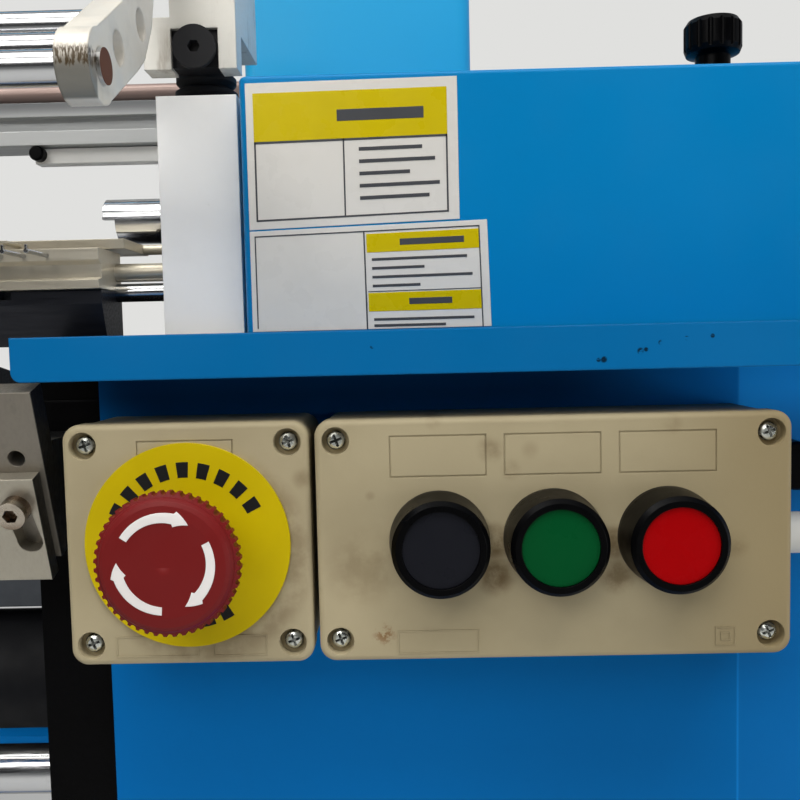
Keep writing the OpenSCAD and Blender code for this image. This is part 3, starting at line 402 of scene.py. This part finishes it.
def guide_metal():
    """Pale ground blocks, almost white, with faint cloudy marks."""
    f = Finish("guide_block_metal", srgb(255, 253, 249), 0.5, 0.02)
    f.soft_edges(0.5)
    f.tint(f.ramp(f.noise(35, 5), 0.4, 0.75, 0.0, 0.4), srgb(232, 230, 226))
    f.tint(f.ramp(f.noise(4, 6, 0.7), 0.64, 0.8, 0.0, 0.3), srgb(190, 188, 182))
    lines = (6, 6, 1)
    f.vary_rough(f.noise(4, 4, 0.6, lines), 0.42, 0.6)
    f.bumpy(f.noise(2, 2, 0.5, lines), 0.08, 0.08)
    return f


def screw_metal(name, colour):
    f = Finish(name, colour, 0.24, 1.0)
    f.soft_edges(0.2)
    f.tint(f.ramp(f.noise(5, 5), 0.45, 0.75, 0.0, 0.5), darker(colour, 0.6))
    f.vary_rough(f.noise(3, 4), 0.18, 0.36)
    return f


def lid_screw_metal():
    """Bright pan heads; what lies deeper, the cross recess and the seat, is dark with painted
    shade.
    """
    f = screw_metal("screw_steel", srgb(226, 230, 224))
    # Painted shade in the cross recess and the seat around the head
    recess_shade = f.along(Y, -298.1, -297.6)
    f.tint(f.product(recess_shade, f.ramp(f.noise(1.4, 3), 0.35, 0.6, 0.45, 1.0)), srgb(30, 34, 30))
    f.fade("Metallic", recess_shade, 1.0, 0.2)
    return f


def socket_metal():
    """Socket screws, bright in front; inside the socket and behind the head brown, partly oil and
    partly painted shade.
    """
    f = screw_metal("socket_screw_steel", srgb(182, 172, 158))
    # Brown oil and painted shade inside the socket and behind the head
    f.tint(f.along(Y, -301.6, -300.2, 0.0, 0.8), srgb(104, 82, 62))
    return f


def plastic(name, colour, rough, grain=0.0, gloss=0.22):
    f = Finish(name, colour, rough, gloss=gloss)
    f.soft_edges(0.25)
    f.tint(f.ramp(f.noise(22, 4), 0.4, 0.7, 0.0, 0.6), darker(colour, 0.92))
    f.vary_rough(f.noise(12, 4), rough - 0.05, rough + 0.07)
    if grain:
        f.bumpy(f.noise(grain, 3), 0.25, 0.12)
    return f


# Brown dirt and painted shade beside the buttons on the enclosures: place in X and Z, inner and
# outer radius, strength
DIRT_AND_SHADE_SPOTS = (
    (508.4, 899, 2.5, 7, 1.0), (508.8, 889, 2, 7.5, 1.0), (543.8, 898, 2.5, 6.5, 0.9),
    (544.4, 888.5, 2, 7, 0.85), (579.7, 897, 1, 5, 0.5), (513.5, 920.5, 0.5, 4, 0.5),
    (519.4, 926.2, 0.5, 3.5, 0.25), (507.7, 926.5, 1, 5, 0.6), (491.3, 935.6, 0.5, 3.5, 0.5),
    (561, 933, 0.5, 4, 0.35), (452.4, 919, 0.5, 4, 0.5), (431.7, 872, 0.5, 4, 0.35),
    (472.2, 913.5, 0.3, 2, 0.3), (469.5, 892.0, 3, 15, 0.4),
)


def beige_plastic():
    """Moulded beige, darker and browner at the right end with painted shade, with smudges of dirt
    and painted shade, a brown stain and scuffs.
    """
    f = Finish("beige_plastic", srgb(172, 160, 130), 0.5, gloss=0.16)
    f.soft_edges(0.3)
    f.tint(f.ramp(f.noise(45, 4), 0.4, 0.7, 0.0, 0.7), srgb(162, 150, 120))
    # Painted shade: darker and browner towards the right end of the wide enclosure
    f.tint(f.along(X, 540, 596, 0.0, 0.85), srgb(136, 121, 88))
    # Brown dirt mixed with painted shade, around the stop's disc and beside the buttons
    dirt_and_shade = f.product(f.spot(STOP[0] + 4, STOP[1] - 4, 29, 35), 0.5)
    for x, z, inner, outer, strength in DIRT_AND_SHADE_SPOTS:
        dirt_and_shade = f.calc("MAXIMUM", dirt_and_shade, f.product(f.spot(x, z, inner, outer), strength))
    patchy = f.ramp(f.noise(7, 5, 0.6), 0.3, 0.62, 0.15, 1.0)
    f.tint(f.product(dirt_and_shade, patchy, 0.85), srgb(100, 80, 50))
    rusty = f.ramp(f.noise(2.6, 5, 0.7), 0.5, 0.62)
    f.tint(f.product(f.spot(475.5, 871.8, 0.4, 4.5), rusty, 0.8), srgb(122, 82, 40))
    f.tint(f.ramp(f.noise(2.5, 6, 0.75), 0.68, 0.8, 0.0, 0.4), srgb(104, 88, 60))
    f.vary_rough(f.noise(9, 5), 0.44, 0.58)
    f.bumpy(f.noise(0.7, 3), 0.2, 0.1)
    return f


finishes = {
    "blue": enamel("blue_paint", srgb(2, 125, 186)),
    "panel": panel_paint(),
    "column": enamel("column_paint", srgb(46, 166, 218)),
    "shelf": lip_paint(),
    "white": enamel("white_paint", srgb(250, 250, 248), 0.4),
    "black_cast": casting("black_cast", srgb(6, 6, 7), 0.5),
    "grey_cast": casting("grey_cast", srgb(98, 102, 108), 0.55),
    "guide": guide_metal(),
    "bracket": bracket_metal(),
    "arm": arm_metal(),
    "bar": ground_metal("bar_aluminium", srgb(176, 176, 176), 0.36, 0.85, LONG_LINES_ALONG_X),
    "beam": beam_metal(),
    "chrome": chrome("polished_chrome"),
    "rod": rod_chrome(),
    "steel": ground_metal("oiled_steel", srgb(212, 203, 183), 0.36, 0.5, LINES_ALONG_X),
    "dark_steel": ground_metal("dark_steel", srgb(30, 32, 40), 0.4, 0.5, LINES_ALONG_X),
    "comb": comb_metal(),
    "clamp": clamp_metal(),
    "screw": lid_screw_metal(),
    "socket_screw": socket_metal(),
    "rubber": plastic("black_rubber", srgb(14, 15, 19), 0.6, grain=1.2),
    "roller": plastic("roller_black", srgb(30, 30, 32), 0.46),
    "black": plastic("black_plastic", srgb(3, 3, 4), 0.32, gloss=0.07),
    "beige": beige_plastic(),
    "yellow": plastic("yellow_disc", srgb(200, 177, 6), 0.42, grain=0.8, gloss=0.1),
    "red": plastic("mushroom_red", srgb(112, 25, 25), 0.42, grain=1.0, gloss=0.16),
    "collar": plastic("collar_red", srgb(84, 14, 18), 0.5),
    "cap_black": plastic("cap_black", srgb(24, 25, 31), 0.32, gloss=0.1),
    "cap_green": plastic("cap_green", srgb(0, 73, 34), 0.3, gloss=0.08),
    "cap_red": plastic("cap_red", srgb(158, 2, 6), 0.28, gloss=0.06),
    "gland": plastic("gland_plastic", srgb(206, 206, 202), 0.45),
    "marks": plastic("disc_marks", srgb(22, 22, 22), 0.5),
    "arrows": plastic("white_arrows", srgb(232, 228, 226), 0.45),
    "vinyl": plastic("sticker_white", srgb(216, 212, 204), 0.3),
    "band": plastic("sticker_yellow", srgb(202, 180, 4), 0.28),
    "ink": plastic("sticker_grey", srgb(70, 71, 74), 0.35),
}

looks = {
    "blue": ["head_housings"],
    "panel": ["bases", "front_covers", "body_covers", "tie_beam", "front_tie_plate"],
    "column": ["columns", "top_beam"],
    "shelf": ["shelf_tray"],
    "white": ["yarn_guard_bar"],
    "black_cast": ["end_frames", "deck_plates"],
    "grey_cast": ["bed_beam", "shaft_bearings", "driven_pulley", "motor", "motor_pulley"],
    "guide": ["guide_blocks"],
    "bracket": ["lift_brackets"],
    "arm": ["bar_arms"],
    "bar": ["weft_bar_front", "weft_bar_middle", "weft_bar_rear"],
    "beam": ["rear_guide_beam"],
    "chrome": ["lift_rods", "needles", "bar_shafts", "pressure_roller"],
    "rod": ["guide_rods"],
    "steel": ["needle_bar", "warp_bar", "main_shaft", "estop_plunger"],
    "dark_steel": ["knockover_bar"],
    "comb": ["comb_brackets"],
    "clamp": ["clamp_blocks"],
    "screw": ["lid_screws"],
    "socket_screw": ["clamp_screws"],
    "rubber": ["rod_boots", "drive_belt", "feed_roller_lower", "feed_roller_upper",
               "takedown_roller"],
    "roller": ["lift_rollers"],
    "black": ["filler_neck", "filler_cap", "handwheel", "button_bezels", "contact_blocks"],
    "beige": ["estop_box_base", "estop_box_lid", "station_box_base", "station_box_lid"],
    "yellow": ["legend_disc"],
    "red": ["estop_head"],
    "collar": ["estop_collar"],
    "cap_black": ["black_button"],
    "cap_green": ["green_button"],
    "cap_red": ["red_button"],
    "gland": ["cable_gland"],
}
for key, names in looks.items():
    for name in names:
        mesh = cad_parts[name].data
        mesh.materials.clear()
        mesh.materials.append(finishes[key].mat)


# Printed and raised trim: stickers, arrows, plain marks, bare frames, a bolt and a knob

def add_piece(name, solid, finish, body):
    """A piece from points in mm and faces."""
    points, faces = solid
    mesh = bpy.data.meshes.new(name)
    mesh.from_pydata([(x * MM, y * MM, z * MM) for x, y, z in points], [], faces)
    mesh.validate()
    mesh.update()
    mesh.materials.append(finishes[finish].mat)
    obj = bpy.data.objects.new(name, mesh)
    bpy.context.collection.objects.link(obj)
    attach(obj, body)


def prism(outlines, y_back, y_front):
    """Closed solids from outlines in X and Z, seen from the front, between two depths."""
    points, faces = [], []
    for ring in outlines:
        n, k = len(ring), len(points)
        points += [(x, y_front, z) for x, z in ring] + [(x, y_back, z) for x, z in ring]
        faces.append(tuple(k + i for i in range(n)))
        faces.append(tuple(k + n + i for i in reversed(range(n))))
        faces += [(k + i, k + n + i, k + n + (i + 1) % n, k + (i + 1) % n) for i in range(n)]
    return points, faces


def rect(x0, z0, x1, z1):
    return [(x0, z0), (x1, z0), (x1, z1), (x0, z1)]


def thin_frame(x0, z0, x1, z1):
    w = 0.45
    return [rect(x0, z0, x1, z0 + w), rect(x0, z1 - w, x1, z1),
            rect(x0, z0 + w, x0 + w, z1 - w), rect(x1 - w, z0 + w, x1, z1 - w)]


def flat_piece(name, outlines, back, thick, finish):
    add_piece(name, prism(outlines, back, back - thick), finish, "root")


def skewed(corners, boxes):
    """Boxes given in parts of one, placed in a four-cornered field.

    The corners go from lower left to lower right, upper right and upper left."""
    (ax, az), (bx, bz), (cx, cz), (dx, dz) = corners

    def at(u, v):
        return (ax * (1 - u) * (1 - v) + bx * u * (1 - v) + cx * u * v + dx * (1 - u) * v,
                az * (1 - u) * (1 - v) + bz * u * (1 - v) + cz * u * v + dz * (1 - u) * v)
    return [[at(u, v) for u, v in rect(*b)] for b in boxes]


def bars(left, top, pitch, lengths):
    """Plain bars under each other that stand in for lines of print."""
    thick = 0.025
    return [(left, top - pitch * i, left + length, top - pitch * i + thick)
            for i, length in enumerate(lengths)]


def sticker(name, corners, thick, bands, lines):
    """A white sticker with yellow bands and grey lines; thick gives how far each stands out."""
    for suffix, boxes, t, finish, slot in (
            ("", [(0, 0, 1, 1)], thick[0], "vinyl", "white"),
            (bands[0], bands[1], thick[1], "band", "yellow"),
            ("_lines", lines, thick[2], "ink", "black_plastic")):
        flat_piece(name + suffix, skewed(corners, boxes), HEAD_Y, t, finish)


def stickers():
    rules = [(0.035, 0.055, 0.95, 0.067), (0.035, 0.067, 0.043, 0.6), (0.942, 0.067, 0.95, 0.6),
             (0.455, 0.067, 0.462, 0.6), (0.035, 0.585, 0.95, 0.6)]
    print_lines = bars(0.53, 0.51, 0.085, (0.3, 0.36, 0.24, 0.38, 0.33))
    headline = [(0.43, 0.72, 0.84, 0.8)]
    sticker("sticker_one", ((430.4, 998.1), (502.9, 1000.3), (502.8, 1048.4), (430.4, 1047.7)),
            (0.16, 0.22, 0.26), ("_band", [(0.035, 0.6, 0.95, 0.93)]),
            rules + print_lines + headline)
    rules = [(0.02, 0.03, 0.025, 0.94), (0.02, 0.94, 0.967, 0.952), (0.478, 0.0, 0.484, 0.94),
             (0.49, 0.36, 0.967, 0.368), (0.962, 0.0, 0.967, 0.94)]
    print_lines = bars(0.51, 0.66, 0.085, (0.4, 0.22, 0.42, 0.2))
    print_lines += bars(0.51, 0.08, 0.06, (0.42, 0.3))
    headlines = [(0.63, 0.8, 0.9, 0.86), (0.66, 0.23, 0.84, 0.29)]
    sticker("sticker_two", ((430.4, 963.1), (513.3, 963.3), (512.3, 999.9), (430.4, 997.6)),
            (0.14, 0.2, 0.24), ("_bands", [(0.49, 0.74, 0.967, 0.92), (0.49, 0.17, 0.967, 0.35)]),
            rules + print_lines + headlines)


# The crown of the mushroom: distance from its axis against distance in front of the lid
CROWN = ((0, 26.5), (14, 26.3), (16.6, 25.9), (17.7, 25.3), (18.4, 24.3), (18.6, 23.6))


def crown_front(r):
    for (r0, h0), (r1, h1) in zip(CROWN, CROWN[1:]):
        if r <= r1:
            return h0 + (h1 - h0) * (r - r0) / (r1 - r0)
    return CROWN[-1][1]


def curved_strip(start, end, mid_r, half_width, height, lift, sink, steps, raised=0.0):
    """A closed thin solid along an arc in degrees; half_width and height are functions.

    It stands out by lift and reaches in by sink. The arc's centre lies raised above the axis
    of the stop."""
    across = 4
    points, faces = [], []
    for i in range(steps + 1):
        t = i / steps
        a = math.radians(start + (end - start) * t)
        w = half_width(t)
        for layer in (lift, -sink):
            for j in range(across + 1):
                r = mid_r - w + 2 * w * j / across
                x, z = r * math.cos(a), r * math.sin(a) + raised
                y = FACE_Y - height(math.hypot(x, z)) - layer
                points.append((STOP[0] + x, y, STOP[1] + z))
    row = 2 * (across + 1)
    for i in range(steps):
        k, m = i * row, (i + 1) * row
        for j in range(across):
            faces.append((k + j, k + j + 1, m + j + 1, m + j))
            b = across + 1 + j
            faces.append((k + b, m + b, m + b + 1, k + b + 1))
        faces.append((k, m, m + across + 1, k + across + 1))
        faces.append((k + across, k + row - 1, m + row - 1, m + across))
    faces.append(tuple(range(across + 1)) + tuple(range(row - 1, across, -1)))
    k = steps * row
    faces.append(tuple(k + j for j in range(across, -1, -1))
                 + tuple(k + j for j in range(across + 1, row)))
    return points, faces


def joined(parts):
    points, faces = [], []
    for more_points, more_faces in parts:
        k = len(points)
        points += more_points
        faces += [tuple(k + i for i in face) for face in more_faces]
    return points, faces


def turning_arrows():
    """Three arrows on the crown: shafts that widen a little, then heads."""
    head = 0.215  # share of the arrow's length

    def half(t):
        return 1.1 + 0.4 * t if t < 1 - head else max(0.02, 2.3 * (1 - t) / head)
    parts = [curved_strip(a, b, 12.65, half, crown_front, 0.12, 0.15, 40, 0.8)
             for a, b in ((146.7, 56.1), (26.1, -64.6), (266.1, 176.7))]
    add_piece("turning_arrows", joined(parts), "arrows", "estop_head")


def disc_marks():
    """Plain marks where the legend disc has words: an arc above the mushroom and one below."""
    disc_t = 1.0
    angles = [152 - 15.1 * i for i in range(9)] + [-62, -76, -104, -118]
    parts = [curved_strip(a - 4.2, a + 4.2, 22.6, lambda t: 2.3, lambda r: disc_t, 0.06, 0.1, 8)
             for a in angles]
    add_piece("legend_marks", joined(parts), "marks", "root")


def bare_frames():
    """Raised empty frames low on both lids."""
    thick = 0.15
    lines = thin_frame(479.4, 865.8, 503.8, 872.9)
    lines += thin_frame(573.5, 866.6, 579.5, 872.4) + thin_frame(575.0, 868.1, 578.0, 870.9)
    flat_piece("station_frames", lines, FACE_Y, thick, "beige")
    lines = thin_frame(395.2, 866.2, 420.0, 872.6) + thin_frame(424.5, 866.2, 440.5, 872.6)
    flat_piece("stop_frames", lines, FACE_Y, thick, "beige")


def turned(rings, x, z, sides=48):
    """A closed solid turned about an axis along Y: rings of (radius, y) from back to front."""
    points, faces = [], []
    for r, y in rings:
        angles = [2 * math.pi * i / sides for i in range(sides)]
        points += [(x + r * math.cos(a), y, z + r * math.sin(a)) for a in angles]
    for k in range(len(rings) - 1):
        a, b = k * sides, (k + 1) * sides
        faces += [(a + i, a + (i + 1) % sides, b + (i + 1) % sides, b + i) for i in range(sides)]
    faces.append(tuple(reversed(range(sides))))
    faces.append(tuple((len(rings) - 1) * sides + i for i in range(sides)))
    return points, faces


def small_fasteners():
    """The dark bolt beside the wide enclosure and the black knob on the white guard arm."""
    bolt = turned(((8, -258), (8, -270), (7.2, -271.2)), 610.3, 915.3)
    add_piece("cabinet_bolt", bolt, "black", "root")
    knob = turned(((3.2, -164), (3.2, -169), (2.6, -170)), 324.0, 1043.9)
    add_piece("guard_bar_knob", knob, "black", "root")


stickers()
turning_arrows()
disc_marks()
bare_frames()
small_fasteners()


# Floor and light, in metres and watts

BACKDROP = srgb(224, 224, 222)
FLOOR_HALF = 12
GLOW_FROM, GLOW_TO, GLOW = 1.2, 7.0, 0.68  # two distances from the origin, and a strength
SURROUND = (0.9, 0.92, 0.95, 1)
SURROUND_FRONT, SURROUND_BACK = 0.04, 0.55  # strengths
# Name, place, target, size, power and tone
LAMPS = (
    ("ceiling", (0.2, -1.15, 3.2), (0.4, -0.3, 0.9), (3.4, 1.2), 78, (1, 0.985, 0.955)),
    ("front_fill", (-0.5, -2.3, 2.3), (0.4, -0.2, 0.9), (1.6, 1.0), 22, (1, 0.98, 0.95)),
    ("right_fill", (2.3, -1.05, 0.75), (0.6, -0.26, 0.92), (1.2, 0.9), 13, (1, 1, 1)),
)


def make_stage():
    """A plain pale floor. Far from the machine it is drawn as pale as the backdrop, and lights
    nothing."""
    floor_mat = bpy.data.materials.new("pale_floor")
    floor_mat.use_nodes = True
    tree = floor_mat.node_tree
    shader = tree.nodes["Principled BSDF"]
    shader.inputs["Base Color"].default_value = srgb(216, 216, 214)
    shader.inputs["Roughness"].default_value = 0.7
    shader.inputs["Emission Color"].default_value = BACKDROP
    place = tree.nodes.new("ShaderNodeNewGeometry")
    far = tree.nodes.new("ShaderNodeVectorMath")
    far.operation = "LENGTH"
    tree.links.new(place.outputs["Position"], far.inputs[0])
    glow = map_range(tree, far.outputs["Value"], GLOW_FROM, GLOW_TO, 0.0, GLOW, smooth=False)
    path = tree.nodes.new("ShaderNodeLightPath")
    seen = tree.nodes.new("ShaderNodeMath")
    seen.operation = "MULTIPLY"
    tree.links.new(glow, seen.inputs[0])
    tree.links.new(path.outputs["Is Camera Ray"], seen.inputs[1])
    tree.links.new(seen.outputs[0], shader.inputs["Emission Strength"])
    mesh = bpy.data.meshes.new("floor")
    s = FLOOR_HALF
    mesh.from_pydata([(-s, -s, 0), (s, -s, 0), (s, s, 0), (-s, s, 0)], [], [(0, 1, 2, 3)])
    mesh.materials.append(floor_mat)
    floor = bpy.data.objects.new("floor", mesh)
    bpy.context.collection.objects.link(floor)


def make_surround():
    """A surround that lights more from behind the machine, and is seen as a plain backdrop."""
    world = bpy.data.worlds.new("studio")
    world.use_nodes = True
    tree = world.node_tree
    back = tree.nodes["Background"]
    back.inputs["Color"].default_value = SURROUND
    way = tree.nodes.new("ShaderNodeTexCoord")
    split = tree.nodes.new("ShaderNodeSeparateXYZ")
    tree.links.new(way.outputs["Generated"], split.inputs[0])
    rise = map_range(tree, split.outputs["Y"], -0.5, 0.5, SURROUND_FRONT, SURROUND_BACK,
                     smooth=False)
    tree.links.new(rise, back.inputs["Strength"])
    pale = tree.nodes.new("ShaderNodeBackground")
    pale.inputs["Color"].default_value = BACKDROP
    path = tree.nodes.new("ShaderNodeLightPath")
    mix = tree.nodes.new("ShaderNodeMixShader")
    sources = (path.outputs["Is Camera Ray"], back.outputs[0], pale.outputs[0])
    for socket, source in zip(mix.inputs, sources):
        tree.links.new(source, socket)
    tree.links.new(mix.outputs[0], tree.nodes["World Output"].inputs["Surface"])
    bpy.context.scene.world = world
    bpy.context.scene.view_settings.view_transform = "Standard"


def add_lamp(name, place, target, size, power, tone):
    """A soft rectangular lamp that the camera doesn't see."""
    data = bpy.data.lights.new(name, "AREA")
    data.shape = "RECTANGLE"
    data.size, data.size_y = size
    data.energy = power
    data.color = tone
    lamp = bpy.data.objects.new(name, data)
    lamp.location = place
    aim = Vector(target) - Vector(place)
    lamp.rotation_euler = aim.to_track_quat("-Z", "Y").to_euler()
    lamp.visible_camera = False
    bpy.context.collection.objects.link(lamp)


make_stage()
make_surround()
for lamp in LAMPS:
    add_lamp(*lamp)
